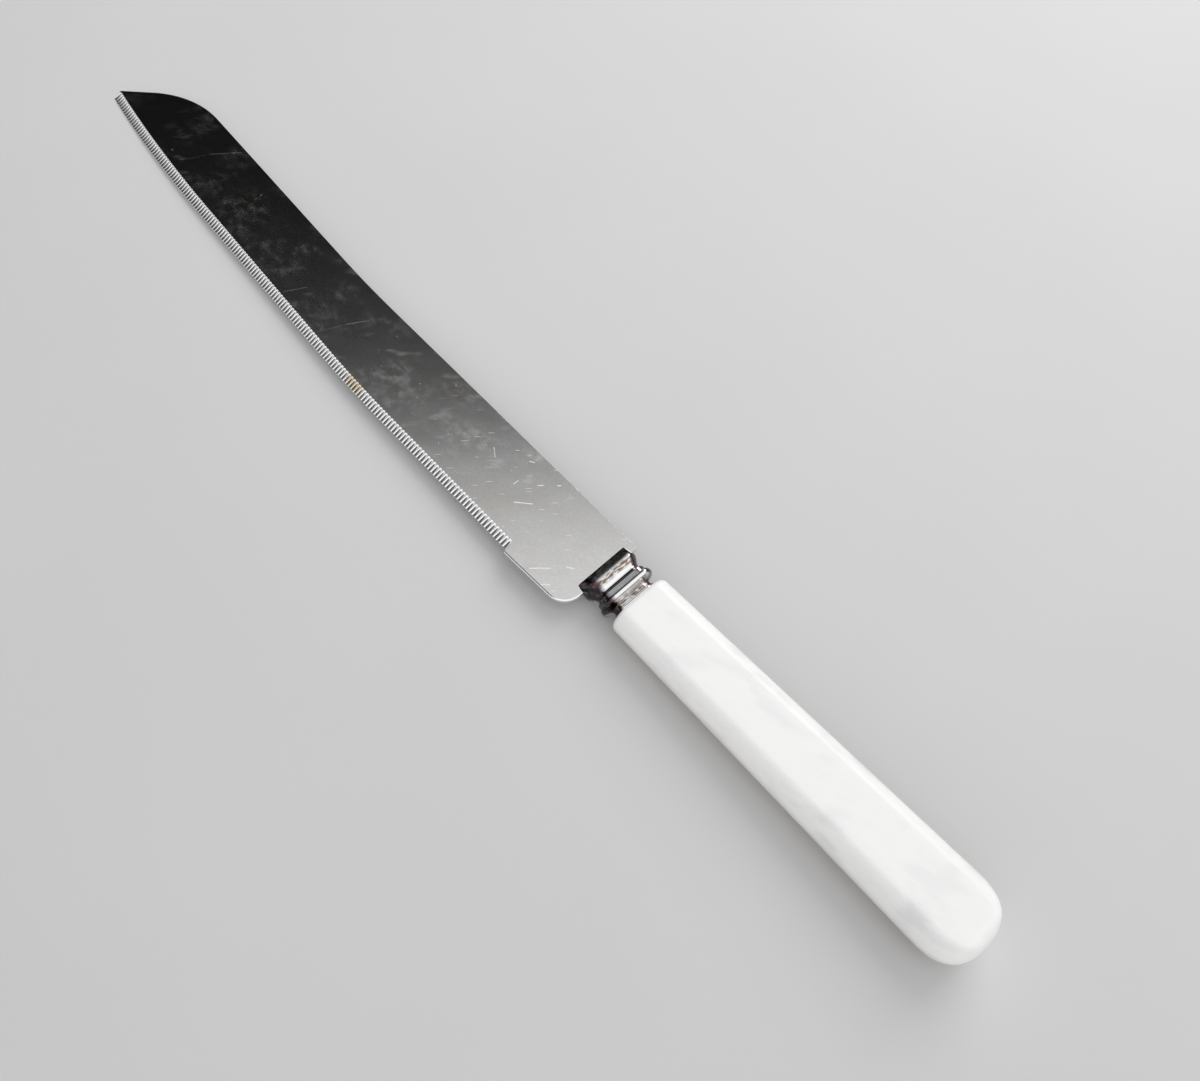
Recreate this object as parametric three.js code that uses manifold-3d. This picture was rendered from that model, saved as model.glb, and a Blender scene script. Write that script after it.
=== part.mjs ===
// Cake knife: a fluted stainless blade, a moulded bolster and a pearl-effect handle.
// Millimetres. +X runs from the butt to the tip, +Y towards the cutting edge, +Z up through the ground face.
// Lengths are taken from the front of the bolster. Heights across the blade are taken from the handle's
// axis towards the spine, which lies on the -Y side.
import * as THREE from "three";
import { mergeVertices } from "three/addons/utils/BufferGeometryUtils.js";
import Module from "manifold-3d";

// Blade
const BLADE_REACH = 197.4; // bolster front to tip
const BLADE_THICKNESS = 1.3;
const BLADE_SEAT = 2.1; // depth of the blade's root between the bolster's jaws
const SPINE_HEIGHT = 8.72; // spine above the axis at the root
const SPINE_RISE = 0.006; // slope of the spine behind its bend
const SPINE_BEND_AT = 96.3;
const SPINE_SWEEP = 0.062; // slope of the spine ahead of its bend
const SPINE_BEND_RADIUS = 374;
const NOSE_ANGLE = 43; // degrees, fall of the spine towards the tip
const NOSE_RADIUS = 28;
const TIP_LAND = 0.4; // blunt tip left above the bevel
const TIP_RADIUS = 0.8;
const ROOT_RADIUS = 0.9; // corner of spine and root
const EDGE_DROP = 12.35; // straight part of the edge below the axis
const EDGE_BEND_AT = 73.3;
const EDGE_SWEEP = 0.055; // slope of the edge ahead of its bend
const EDGE_BEND_RADIUS = 470;
const BELLY_LENGTH = 26.8; // where the edge turns up, back from the tip
const BELLY_SWEEP = 0.165; // slope of the edge at the tip
const BELLY_RADIUS = 490;

// Fluted edge and plain heel
const HEEL_LENGTH = 17.6; // bolster front to the last flute
const HEEL_PROUD = 0.95; // heel's reach past the fluted edge
const HEEL_TAPER = 0.035; // slope of the heel's lower edge
const HEEL_RADIUS = 5;
const FLUTE_PITCH = 1.0545;
const FLUTE_DEPTH = 0.3; // set-back of the edge between two teeth
const FLUTE_FACETS = 6;
const BEVEL_WIDTH = 1.95;
const BEVEL_TIP_WIDTH = 2.4; // the bevel widens between the edge's bend and its belly
const RUN_OUT = 0.8; // length in which the bevel fades into the heel

// Tang and its cement
const TANG_WIDTH = 6;
const TANG_LENGTH = 56; // blade root to tang end
const TANG_CHAMFER = 1.2;
const TANG_CLEARANCE = 0.3; // either side of the tang in the bolster
const CEMENT_WALL = 0.9; // cement all round the tang
const CEMENT_END = 3; // cement past the tang's end

// Bolster
const FLANGE_HALF_WIDTH = 7.15;
const FLANGE_HALF_THICKNESS = 4.1;
const FLANGE_LENGTH = 0.2;
const NOSE_LENGTH = 2.7; // sloping front of the flange
const NOSE_FULLNESS = 1.05; // 1 is a straight slope, 2 is a quarter of an ellipse
const NOSE_LIP = 0.15; // jaw left over the blade at the very front
const NOSE_DRAW = 0.25; // how far each side draws in at the very front
const COVE_LENGTH = 3.7;
const COVE_DEPTH = 0.75;
const BEAD_LENGTH = 1.7;
const BEAD_RISE = 0.5; // rounding of the bead, down to its edges
const NECK_COVE_LENGTH = 1.3;
const NECK_DEPTH = 1.95; // neck below the flange
const NECK_LENGTH = 0.8;
const COLLAR_LENGTH = 0.9;
const COLLAR_RISE = 0.4;
const BOLSTER_SWELL = 1.6; // rounding of the bolster's sides

// Handle
const HANDLE_LENGTH = 92.3;
const FRONT_HALF_WIDTH = 7.7;
const BUTT_HALF_WIDTH = 9.22;
const FRONT_HALF_THICKNESS = 4.7;
const BUTT_HALF_THICKNESS = 6.2;
const FRONT_SWELL = 3.05; // reach of the rounded sides past the flat faces
const BUTT_SWELL = 3.5;
const FRONT_EDGE_RADIUS = 1.2;
const BUTT_ROUND = 10; // length of the butt that is rounded seen from above
const BUTT_DOME = 4; // length of the butt that is rounded seen from the side
const BUTT_FULLNESS = 2.6; // 2 is an ellipse, more is squarer
const EDGE_SOFTNESS = 0.7; // softened edge between a flat face and a side

const SAG = 0.02; // how far a facet may stand off its true curve
const SIDE_FACETS = 12;

const wasm = await Module();
wasm.setup();
const point = (x, y) => new THREE.Vector2(x, y);
const corner = (x, y, radius = 0) => ({ at: point(x, y), radius });
const mix = THREE.MathUtils.lerp;

// Straight runs through the corners, each corner turned with a tangent arc that its runs have room for
function roundedPath(corners) {
  const last = corners.length - 1;
  const turns = corners.map(({ at, radius }, i) => {
    if (i === 0 || i === last) return { reach: 0 };
    const back = corners[i - 1].at.clone().sub(at).normalize();
    const ahead = corners[i + 1].at.clone().sub(at).normalize();
    const half = back.angleTo(ahead) / 2;
    return { back, ahead, half, reach: radius / Math.tan(half) };
  });
  const room = (i) => corners[i].at.distanceTo(corners[i + 1].at) / (turns[i].reach + turns[i + 1].reach);
  const path = new THREE.Path();
  path.moveTo(corners[0].at.x, corners[0].at.y);
  for (let i = 1; i < last; i += 1) {
    const { at } = corners[i];
    const { back, ahead, half } = turns[i];
    const reach = turns[i].reach * Math.min(1, room(i - 1), room(i));
    const start = at.clone().addScaledVector(back, reach);
    path.lineTo(start.x, start.y);
    if (reach === 0) continue;
    const inward = back.clone().add(ahead).normalize();
    const centre = at.clone().addScaledVector(inward, reach / Math.cos(half));
    const end = at.clone().addScaledVector(ahead, reach);
    const from = start.clone().sub(centre).angle();
    const to = end.clone().sub(centre).angle();
    path.absarc(centre.x, centre.y, reach * Math.tan(half), from, to, back.cross(ahead) > 0);
  }
  path.lineTo(corners[last].at.x, corners[last].at.y);
  return path;
}

// Points of a path, only as close together as its arcs need
function outlineOf(path) {
  const points = [path.curves[0].getPoint(0)];
  for (const curve of path.curves) {
    let steps = 1;
    if (curve.isEllipseCurve) {
      const chord = 2 * curve.xRadius * Math.acos(1 - SAG / curve.xRadius);
      steps = Math.ceil(curve.getLength() / chord);
    }
    for (let i = 1; i <= steps; i += 1) {
      const next = curve.getPoint(i / steps);
      if (next.distanceTo(points[points.length - 1]) > SAG / 10) points.push(next);
    }
  }
  return points;
}

function meshOf(positions, index) {
  const geometry = new THREE.BufferGeometry();
  geometry.setAttribute("position", new THREE.Float32BufferAttribute(positions, 3));
  geometry.setIndex(index);
  return geometry;
}

// A plate between two outlines that have the same number of points, drawn with the spine upwards
function plate(lower, upper, thickness) {
  const count = lower.length;
  const positions = [];
  lower.forEach((p) => positions.push(p.x, -p.y, -thickness / 2));
  upper.forEach((p) => positions.push(p.x, -p.y, thickness / 2));
  const index = [];
  for (let i = 0; i < count; i += 1) {
    const next = (i + 1) % count;
    index.push(i, count + next, next, i, count + i, count + next);
  }
  const under = THREE.ShapeUtils.triangulateShape(lower, []);
  const over = THREE.ShapeUtils.triangulateShape(upper, []);
  under.forEach(([a, b, c]) => index.push(a, b, c));
  over.forEach(([a, b, c]) => index.push(count + a, count + c, count + b));
  return meshOf(positions, index);
}

// A skin over rings that follow each other along +X, closed at both ends
function loft(rings) {
  const count = rings[0].length;
  const positions = rings.flat().flatMap((p) => [p.x, p.y, p.z]);
  const index = [];
  for (let r = 0; r + 1 < rings.length; r += 1) {
    for (let i = 0; i < count; i += 1) {
      const a = r * count + i;
      const b = r * count + ((i + 1) % count);
      index.push(a, b, b + count, a, b + count, a + count);
    }
  }
  const front = (rings.length - 1) * count;
  for (let i = 1; i + 1 < count; i += 1) {
    index.push(0, i + 1, i);
    index.push(front, front + i, front + i + 1);
  }
  return meshOf(positions, index);
}

// A box along X, centred on the axis
function bar(from, to, halfWidth, halfThickness) {
  const box = new THREE.BoxGeometry(to - from, 2 * halfWidth, 2 * halfThickness);
  return box.translate((from + to) / 2, 0, 0);
}

function solidOf(geometry) {
  const bare = geometry.clone();
  bare.deleteAttribute("normal");
  bare.deleteAttribute("uv");
  const merged = mergeVertices(bare, 1e-4);
  const vertProperties = merged.attributes.position.array;
  const triVerts = new Uint32Array(merged.index.array);
  return new wasm.Manifold(new wasm.Mesh({ numProp: 3, vertProperties, triVerts }));
}

function cut(body, ...tools) {
  const solid = tools.reduce((left, tool) => left.subtract(solidOf(tool)), solidOf(body));
  const mesh = solid.getMesh();
  return meshOf(mesh.vertProperties, [...mesh.triVerts]);
}

// Cross-section at x: flat faces above and below, rounded sides, softened edges between them
function section(x, halfWidth, halfThickness, fullSwell) {
  const swell = Math.min(fullSwell, 0.9 * halfThickness, 0.9 * halfWidth);
  const radius = (halfThickness ** 2 + swell ** 2) / (2 * swell);
  const onSide = (angle) => point(halfWidth - radius * (1 - Math.cos(angle)), radius * Math.sin(angle));
  const crease = point(halfWidth - swell, halfThickness);
  const soft = Math.min(EDGE_SOFTNESS, swell / 2, crease.x / 2);
  const rim = Math.asin(halfThickness / radius) - soft / radius;
  const edge = new THREE.QuadraticBezierCurve(point(crease.x - soft, crease.y), crease, onSide(rim));
  const quarter = edge.getPoints(4);
  const sideSteps = SIDE_FACETS / 2;
  for (let i = 1; i <= sideSteps; i += 1) quarter.push(onSide(rim * (1 - i / sideSteps)));
  const toFace = [...quarter].reverse();
  const ring = [
    ...quarter.map((p) => point(p.x, -p.y)),
    ...toFace.slice(1),
    ...quarter.map((p) => point(-p.x, p.y)),
    ...toFace.slice(1).map((p) => point(-p.x, -p.y)),
  ];
  return ring.map((p) => new THREE.Vector3(x, p.x, p.y));
}

// Blade and tang, one stamping, with the flutes ground through one face only
function makeBlade() {
  const root = -BLADE_SEAT;
  const tangEnd = root - TANG_LENGTH;
  const tangHalf = TANG_WIDTH / 2;
  const heelEnd = HEEL_LENGTH - RUN_OUT;
  const heelDrop = EDGE_DROP + HEEL_PROUD;
  const heelBack = heelDrop - HEEL_TAPER * (heelEnd - root);
  const bellyAt = BLADE_REACH - BELLY_LENGTH;
  const bellyHeight = EDGE_SWEEP * (bellyAt - EDGE_BEND_AT) - EDGE_DROP;
  const tipEdge = bellyHeight + BELLY_SWEEP * BELLY_LENGTH;
  const tipTop = tipEdge + BEVEL_TIP_WIDTH + TIP_LAND;
  const bendHeight = SPINE_HEIGHT + SPINE_RISE * (SPINE_BEND_AT - root);
  const fall = Math.tan(THREE.MathUtils.degToRad(NOSE_ANGLE));
  const rise = tipTop + fall * BLADE_REACH - bendHeight + SPINE_SWEEP * SPINE_BEND_AT;
  const noseAt = rise / (fall + SPINE_SWEEP);
  const noseHeight = bendHeight + SPINE_SWEEP * (noseAt - SPINE_BEND_AT);

  const heel = roundedPath([
    corner(tangEnd, TANG_CHAMFER - tangHalf),
    corner(tangEnd + TANG_CHAMFER, -tangHalf),
    corner(root, -tangHalf),
    corner(root, -heelBack, HEEL_RADIUS),
    corner(heelEnd, -heelDrop),
  ]);
  const edge = roundedPath([
    corner(HEEL_LENGTH, -EDGE_DROP),
    corner(EDGE_BEND_AT, -EDGE_DROP, EDGE_BEND_RADIUS),
    corner(bellyAt, bellyHeight, BELLY_RADIUS),
    corner(BLADE_REACH, tipEdge),
  ]);
  const spine = roundedPath([
    corner(BLADE_REACH, tipEdge),
    corner(BLADE_REACH, tipTop, TIP_RADIUS),
    corner(noseAt, noseHeight, NOSE_RADIUS),
    corner(SPINE_BEND_AT, bendHeight, SPINE_BEND_RADIUS),
    corner(root, SPINE_HEIGHT, ROOT_RADIUS),
    corner(root, tangHalf),
    corner(tangEnd + TANG_CHAMFER, tangHalf),
    corner(tangEnd, tangHalf - TANG_CHAMFER),
  ]);

  const lower = outlineOf(heel);
  const upper = outlineOf(heel);
  const fadeSteps = 8;
  for (let i = 1; i < fadeSteps; i += 1) {
    const share = i / fadeSteps;
    const angle = (share * Math.PI) / 2;
    const lift = THREE.MathUtils.smoothstep(share, 0, 1);
    lower.push(point(heelEnd + RUN_OUT * share, mix(-heelDrop, -EDGE_DROP, lift)));
    const wallTop = mix(-heelDrop, BEVEL_WIDTH - EDGE_DROP, Math.sin(angle));
    upper.push(point(heelEnd + RUN_OUT * (1 - Math.cos(angle)), wallTop));
  }

  const length = edge.getLength();
  const flutes = Math.round(length / FLUTE_PITCH);
  const halfPitch = length / flutes / 2;
  const fluteRadius = (halfPitch ** 2 + FLUTE_DEPTH ** 2) / (2 * FLUTE_DEPTH);
  const steps = flutes * FLUTE_FACETS;
  for (let i = 0; i <= steps; i += 1) {
    const across = ((i % FLUTE_FACETS) / FLUTE_FACETS) * 2 - 1;
    const hollow = Math.sqrt(fluteRadius ** 2 - (across * halfPitch) ** 2) - fluteRadius + FLUTE_DEPTH;
    const along = edge.getTangent(i / steps);
    const inward = point(-along.y, along.x);
    const tooth = edge.getPoint(i / steps).addScaledVector(inward, hollow);
    lower.push(tooth);
    const spread = THREE.MathUtils.smoothstep(tooth.x, EDGE_BEND_AT, bellyAt);
    upper.push(tooth.clone().addScaledVector(inward, mix(BEVEL_WIDTH, BEVEL_TIP_WIDTH, spread)));
  }
  const back = outlineOf(spine).slice(1);
  return plate([...lower, ...back], [...upper, ...back], BLADE_THICKNESS);
}

// Half-sizes of the bolster's moulding, from its front to the handle
function moulding() {
  const lip = BLADE_THICKNESS / 2 + NOSE_LIP;
  const stations = [];
  const noseSteps = 9;
  for (let i = 0; i <= noseSteps; i += 1) {
    const angle = ((i / noseSteps) * Math.PI) / 2;
    const ahead = Math.cos(angle) ** (2 / NOSE_FULLNESS);
    const raised = Math.sin(angle) ** (2 / NOSE_FULLNESS);
    stations.push({
      x: -NOSE_LENGTH * (1 - ahead),
      halfWidth: FLANGE_HALF_WIDTH - NOSE_DRAW * (1 - raised),
      halfThickness: mix(lip, FLANGE_HALF_THICKNESS, raised),
    });
  }

  const arch = (share) => Math.sqrt(Math.max(0, 1 - (2 * share - 1) ** 2));
  let start = NOSE_LENGTH;
  const run = (length, steps, sunkAt) => {
    for (let i = 1; i <= steps; i += 1) {
      const sunk = sunkAt(i / steps);
      stations.push({
        x: -start - length * (i / steps),
        halfWidth: FLANGE_HALF_WIDTH - sunk,
        halfThickness: FLANGE_HALF_THICKNESS - sunk,
      });
    }
    start += length;
  };
  run(FLANGE_LENGTH, 1, () => 0);
  run(COVE_LENGTH, 10, (share) => BEAD_RISE * share + COVE_DEPTH * 4 * share * (1 - share));
  run(BEAD_LENGTH, 8, (share) => BEAD_RISE * (1 - arch(share)));
  run(NECK_COVE_LENGTH, 6, (share) => mix(BEAD_RISE, NECK_DEPTH, Math.sin((share * Math.PI) / 2)));
  run(NECK_LENGTH, 1, () => NECK_DEPTH);
  run(COLLAR_LENGTH, 6, (share) => NECK_DEPTH - COLLAR_RISE * arch(share));
  return stations;
}

function makeBolster(stations) {
  const rings = stations.map((s) => section(s.x, s.halfWidth, s.halfThickness, BOLSTER_SWELL));
  const rear = stations[stations.length - 1].x;
  const half = BLADE_THICKNESS / 2;
  const jaws = bar(-BLADE_SEAT, NOSE_LENGTH, 2 * FLANGE_HALF_WIDTH, half);
  const slot = bar(rear - NECK_LENGTH, -BLADE_SEAT / 2, TANG_WIDTH / 2 + TANG_CLEARANCE, half);
  return cut(loft(rings.reverse()), jaws, slot);
}

function makeHandle(front, socketEnd) {
  const butt = front - HANDLE_LENGTH;
  const ringAt = (x, inset) => {
    const share = (x - butt) / HANDLE_LENGTH;
    const round = Math.max(0, 1 - (x - butt) / BUTT_ROUND) ** BUTT_FULLNESS;
    const dome = Math.max(0, 1 - (x - butt) / BUTT_DOME) ** 2;
    const halfWidth = mix(BUTT_HALF_WIDTH, FRONT_HALF_WIDTH, share) * (1 - round) ** (1 / BUTT_FULLNESS);
    const halfThickness = mix(BUTT_HALF_THICKNESS, FRONT_HALF_THICKNESS, share) * Math.sqrt(1 - dome);
    return section(x, halfWidth - inset, halfThickness - inset, mix(BUTT_SWELL, FRONT_SWELL, share));
  };
  const rings = [];
  const buttSteps = 18;
  for (let i = 1; i <= buttSteps; i += 1) {
    const angle = ((i / buttSteps) * Math.PI) / 2;
    rings.push(ringAt(butt + Math.max(BUTT_ROUND, BUTT_DOME) * (1 - Math.cos(angle)), 0));
  }
  const edgeSteps = 5;
  for (let i = 0; i <= edgeSteps; i += 1) {
    const angle = ((i / edgeSteps) * Math.PI) / 2;
    const x = front - FRONT_EDGE_RADIUS * (1 - Math.sin(angle));
    rings.push(ringAt(x, FRONT_EDGE_RADIUS * (1 - Math.cos(angle))));
  }
  const socket = bar(
    socketEnd,
    front + FRONT_EDGE_RADIUS,
    TANG_WIDTH / 2 + CEMENT_WALL,
    BLADE_THICKNESS / 2 + CEMENT_WALL,
  );
  return cut(loft(rings), socket);
}

// Cement fills the socket and leaves the tang's own space
function makeCement(front, tangEnd, socketEnd) {
  const fill = bar(socketEnd, front, TANG_WIDTH / 2 + CEMENT_WALL, BLADE_THICKNESS / 2 + CEMENT_WALL);
  const space = bar(tangEnd, front + CEMENT_END, TANG_WIDTH / 2, BLADE_THICKNESS / 2);
  return cut(fill, space);
}

function piece(name, geometry, color, metalness, roughness) {
  const material = new THREE.MeshStandardMaterial({ color, metalness, roughness });
  const mesh = new THREE.Mesh(geometry, material);
  mesh.name = name;
  return mesh;
}

const stations = moulding();
const handleFront = stations[stations.length - 1].x;
const tangEnd = -BLADE_SEAT - TANG_LENGTH;
const socketEnd = tangEnd - CEMENT_END;

const knife = new THREE.Group();
knife.add(
  piece("blade", makeBlade(), 0xb4b6b8, 0.95, 0.22),
  piece("bolster", makeBolster(stations), 0xd8dadd, 1, 0.08),
  piece("handle", makeHandle(handleFront, socketEnd), 0xf5f4f1, 0, 0.24),
  piece("tang_cement", makeCement(handleFront, tangEnd, socketEnd), 0x6b5138, 0, 0.8),
);

// The part's origin lies under the middle of the knife, level with its lowest face
const box = new THREE.Box3().setFromObject(knife);
const middle = box.getCenter(new THREE.Vector3());
knife.position.set(-middle.x, -middle.y, -box.min.z);
const part = new THREE.Group();
part.add(knife);

export default part;
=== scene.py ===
import math
import bmesh
import bpy
from mathutils import Matrix, Vector


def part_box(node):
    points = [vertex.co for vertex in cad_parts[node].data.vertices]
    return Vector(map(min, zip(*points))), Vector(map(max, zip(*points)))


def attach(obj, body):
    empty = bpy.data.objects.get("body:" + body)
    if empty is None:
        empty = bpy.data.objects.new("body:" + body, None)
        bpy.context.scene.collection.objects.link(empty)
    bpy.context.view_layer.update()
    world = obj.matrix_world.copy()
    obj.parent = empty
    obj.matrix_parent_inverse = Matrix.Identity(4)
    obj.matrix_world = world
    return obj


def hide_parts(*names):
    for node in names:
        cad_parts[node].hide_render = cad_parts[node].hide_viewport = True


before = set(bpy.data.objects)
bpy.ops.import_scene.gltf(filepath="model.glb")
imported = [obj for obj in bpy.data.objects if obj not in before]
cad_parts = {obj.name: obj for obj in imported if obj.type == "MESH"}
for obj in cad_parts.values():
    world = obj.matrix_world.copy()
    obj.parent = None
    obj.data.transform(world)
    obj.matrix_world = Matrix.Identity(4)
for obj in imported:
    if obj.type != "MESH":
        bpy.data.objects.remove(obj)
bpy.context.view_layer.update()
print("frame loaded:", ", ".join(sorted(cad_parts)))

mm = 0.001
quarterTurn = math.pi / 2
bladeLow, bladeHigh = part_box("blade")
handleLow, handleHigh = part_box("handle")
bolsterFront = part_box("bolster")[1].x
axisY = (handleLow.y + handleHigh.y) / 2
midZ = (bladeLow.z + bladeHigh.z) / 2
home = Vector((bolsterFront, axisY, midZ))  # bolster front, on the handle's axis, mid blade
bladeReach = (bladeHigh.x - home.x) / mm
halfBlade = (bladeHigh.z - bladeLow.z) / mm / 2
handleFront = (handleHigh.x - home.x) / mm
buttEnd = (handleLow.x - home.x) / mm


# Small helpers
def mix(a, b, share):
    return a + (b - a) * share


def smooth(share):
    return share * share * (3 - 2 * share)


def quarterAngles(steps):
    return [i / steps * quarterTurn for i in range(steps + 1)]


def spot(x, y, z):  # knife millimetres to the frame's metres
    return home + Vector((x, y, z)) * mm


def roundedLine(corners, sag):  # (x, height) at the ends, (x, height, radius) between them
    spots = [Vector(c[:2]) for c in corners]
    line = [spots[0]]
    for before, here, after, given in zip(spots, spots[1:], spots[2:], corners[1:]):
        radius = given[2]
        back = (before - here).normalized()
        ahead = (after - here).normalized()
        half = back.angle(ahead) / 2
        centre = here + (back + ahead).normalized() * (radius / math.sin(half))
        start = here + back * (radius / math.tan(half)) - centre
        sweep = (math.pi - 2 * half) * (1 if ahead.cross(back) > 0 else -1)
        steps = max(3, math.ceil(abs(sweep) / (2 * math.acos(1 - sag / radius))))  # three at least
        for i in range(steps + 1):
            line.append(centre + Matrix.Rotation(sweep * i / steps, 2) @ start)
    line.append(spots[-1])
    return line


def walk(line, count):  # places and directions at even steps along a line
    lengths = [0.0]
    for a, b in zip(line, line[1:]):
        lengths.append(lengths[-1] + (b - a).length)
    places = []
    i = 0
    for k in range(count + 1):
        want = lengths[-1] * k / count
        while i < len(line) - 2 and lengths[i + 1] < want:
            i += 1
        step = line[i + 1] - line[i]
        places.append((line[i] + step * ((want - lengths[i]) / step.length), step.normalized()))
    return places


def lineLength(line):
    return sum((b - a).length for a, b in zip(line, line[1:]))


def skin(bm, rings):  # quads between closed rings that have the same number of points
    count = len(rings[0])
    faces = []
    for low, high in zip(rings, rings[1:]):
        for i in range(count):
            j = (i + 1) % count
            faces.append(bm.faces.new((low[i], low[j], high[j], high[i])))
    return faces


def softShade(bm, sharpAngle):  # smooth faces, hard edges only where the form turns sharply
    for face in bm.faces:
        face.smooth = True
    for edge in bm.edges:
        if len(edge.link_faces) == 2 and edge.calc_face_angle() > sharpAngle:
            edge.smooth = False


def addObject(name, data):
    made = bpy.data.objects.new(name, data)
    bpy.context.scene.collection.objects.link(made)
    return made


def newObject(name, bm):
    mesh = bpy.data.meshes.new(name)
    bm.to_mesh(mesh)
    bm.free()
    return addObject(name, mesh)


def pointAt(thing, stand, target):  # lamps and cameras look along their own -Z
    thing.location = stand
    thing.rotation_euler = (target - stand).to_track_quat("-Z", "Y").to_euler()


def standFor(piece, node, slot, *finishes):  # a finished piece takes the place of its CAD node
    for finish in finishes:
        piece.data.materials.append(finish)
    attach(piece, "root")
    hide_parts(node)
    print("made", piece.name, len(piece.data.polygons), "faces")


def boxCutter(name, low, high):  # corners in knife millimetres
    bm = bmesh.new()
    bmesh.ops.create_cube(bm, size=1.0)
    low, high = spot(*low), spot(*high)
    for v in bm.verts:
        v.co = Vector(mix(a, b, c + 0.5) for a, b, c in zip(low, high, v.co))
    return newObject(name, bm)


def carve(piece, cutters, sharpAngle):  # cut the slots, then shade the result afresh
    for cutter in cutters:
        change = piece.modifiers.new(cutter.name, "BOOLEAN")
        change.operation = "DIFFERENCE"
        change.solver = "EXACT"
        change.object = cutter
    ready = bpy.context.evaluated_depsgraph_get()
    cut = bpy.data.meshes.new_from_object(piece.evaluated_get(ready))
    piece.modifiers.clear()
    bm = bmesh.new()
    bm.from_mesh(cut)
    softShade(bm, sharpAngle)
    bm.to_mesh(piece.data)
    bm.free()
    bpy.data.meshes.remove(cut)
    for cutter in cutters:
        bpy.data.objects.remove(cutter)


# Node helpers
def feed(tree, node, inputs):  # a socket is linked, a plain value is set
    for key, value in inputs.items():
        if isinstance(value, bpy.types.NodeSocket):
            tree.links.new(value, node.inputs[key])
        else:
            node.inputs[key].default_value = value


def addNode(tree, kind, inputs=None, **settings):
    made = tree.nodes.new("ShaderNode" + kind)
    for key, value in settings.items():
        setattr(made, key, value)
    feed(tree, made, inputs or {})
    return made


def calc(tree, operation, *values):
    return addNode(tree, "Math", dict(enumerate(values)), operation=operation).outputs[0]


def fade(tree, value, low, high, start=0.0, end=1.0):
    inputs = {"Value": value, "From Min": low, "From Max": high, "To Min": start, "To Max": end}
    return addNode(tree, "MapRange", inputs, interpolation_type="SMOOTHSTEP").outputs[0]


def tint(tree, share, a, b, blend="MIX"):
    inputs = {0: share, 6: a, 7: b}
    return addNode(tree, "Mix", inputs, data_type="RGBA", blend_type=blend).outputs[2]


def split(tree, vector):  # its x, y and z
    return addNode(tree, "SeparateXYZ", {0: vector}).outputs


def knifePlace(tree):  # a point's place in knife millimetres
    coords = addNode(tree, "TexCoord")
    inputs = {"Vector": coords.outputs["Object"], "Location": -home / mm, "Scale": (1 / mm,) * 3}
    return addNode(tree, "Mapping", inputs).outputs[0]


def layOn(tree, place, start, size, turn=0.0):  # the place as seen from a stamp laid on the knife
    inputs = {"Vector": place, "Location": start, "Rotation": (0, 0, turn), "Scale": size}
    return addNode(tree, "Mapping", inputs, vector_type="TEXTURE").outputs[0]


def cloud(tree, place, grain):  # noise with grains of a size in mm, spread over a span if one is given
    where = layOn(tree, place, (grain["seed"],) * 3, grain["size"], grain.get("turn", 0.0))
    inputs = {"Vector": where, "Scale": 1.0, "Detail": grain["detail"]}
    value = addNode(tree, "TexNoise", inputs).outputs[0]
    return fade(tree, value, *grain["span"]) if "span" in grain else value


def flecks(tree, place, look):  # scattered dashes or specks, each in its own cell
    seed = look["seed"]
    where = layOn(tree, place, (seed, seed, 0), (look["length"], look["width"], 1), look["turn"])
    inputs = {"Vector": where, "Scale": 1.0}
    cells = addNode(tree, "TexVoronoi", inputs, voronoi_dimensions="2D")
    chance = addNode(tree, "SeparateColor", {0: cells.outputs["Color"]}).outputs
    kept = fade(tree, chance[0], 1 - look["share"], 1 - look["share"] / 2)
    body = fade(tree, cells.outputs["Distance"], *look["rim"], 1.0, 0.0)
    shown = calc(tree, "MULTIPLY", body, calc(tree, "MULTIPLY", kept, chance[1]))
    return calc(tree, "MULTIPLY", shown, fade(tree, split(tree, place)[0], *look["along"]))


def scuff(tree, place, start, end, stroke):  # one rub with a start and an end, in knife millimetres
    run = Vector(end) - Vector(start)
    size = (run.length, stroke["width"], 1)
    parts = split(tree, layOn(tree, place, (*start, 0), size, math.atan2(run.y, run.x)))
    wander = cloud(tree, place, {**stroke["wander"], "seed": start[0]})
    drift = calc(tree, "MULTIPLY", calc(tree, "SUBTRACT", wander, 0.5), stroke["wanderBy"])
    across = calc(tree, "ABSOLUTE", calc(tree, "ADD", parts[1], drift))
    along = calc(tree, "ABSOLUTE", calc(tree, "SUBTRACT", parts[0], 0.5))
    body = fade(tree, across, *stroke["edge"], 1.0, 0.0)
    return calc(tree, "MULTIPLY", body, fade(tree, along, *stroke["ends"], 1.0, 0.0))


def within(tree, value, spans, core):  # one inside any span, each a middle and a half-length
    found = 0.0
    for middle, half in spans:
        off = calc(tree, "ABSOLUTE", calc(tree, "SUBTRACT", value, middle))
        found = calc(tree, "MAXIMUM", found, fade(tree, off, half * core, half, 1.0, 0.0))
    return found


def newFinish(name):
    finish = bpy.data.materials.new(name)
    finish.use_nodes = True
    tree = finish.node_tree
    tree.nodes.clear()
    shader = addNode(tree, "BsdfPrincipled")
    addNode(tree, "OutputMaterial", {"Surface": shader.outputs[0]})
    return finish, tree, shader, knifePlace(tree)


def relief(tree, height, depth):  # depth in mm for a height of one
    return addNode(tree, "Bump", {"Height": height, "Distance": depth * mm, "Strength": 1.0}).outputs[0]


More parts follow.
